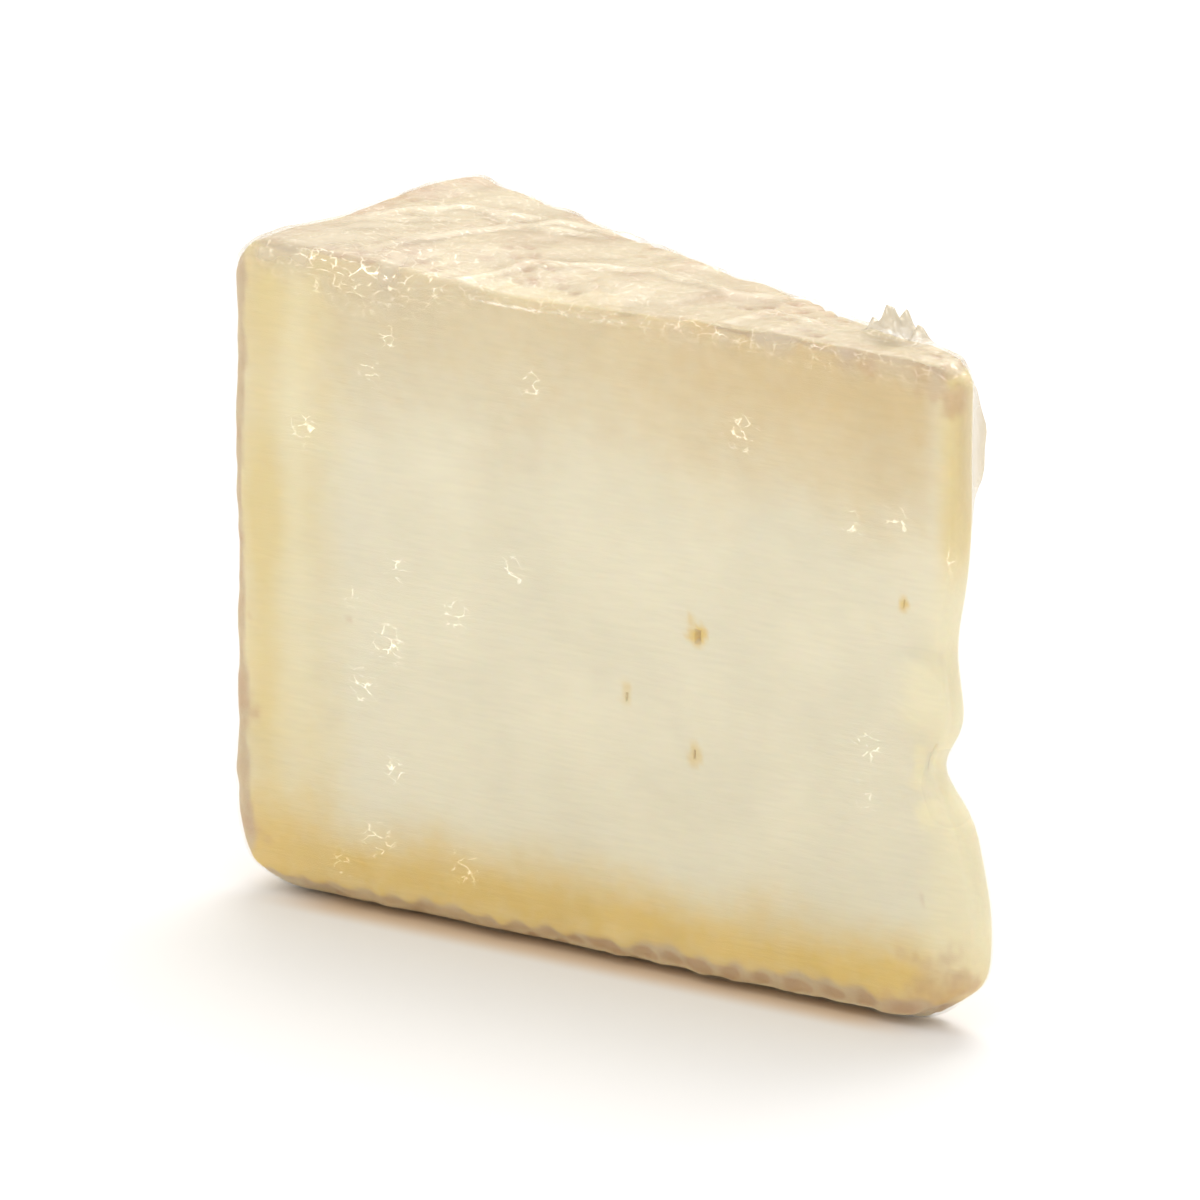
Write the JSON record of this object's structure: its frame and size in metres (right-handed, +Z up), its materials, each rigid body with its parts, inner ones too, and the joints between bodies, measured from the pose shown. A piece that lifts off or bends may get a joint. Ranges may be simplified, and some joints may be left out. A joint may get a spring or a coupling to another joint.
{
  "type": "cheese wedge",
  "caption": "Wedge cut from a low round soft-ripened cheese, with white mould rind and ivory paste, standing on its rind and drawn tightly in clear cling film.",
  "frame": {"origin": "middle of the underside of the wrapped wedge's box, on the surface that it stands on", "axes": "+X from the rim's rind to the point, along the front cut face; -Y out of the front cut face; +Z up, parallel to the axis of the wheel that it was cut from"},
  "size_m": [0.0948, 0.0346, 0.0732],
  "materials": {
    "cheese": "soft satin",
    "cling_film": "clear gloss"
  },
  "bodies": {
    "root": {"cheese_wedge": "cheese", "film_wrap": "cling_film"}
  },
  "joints": []
}
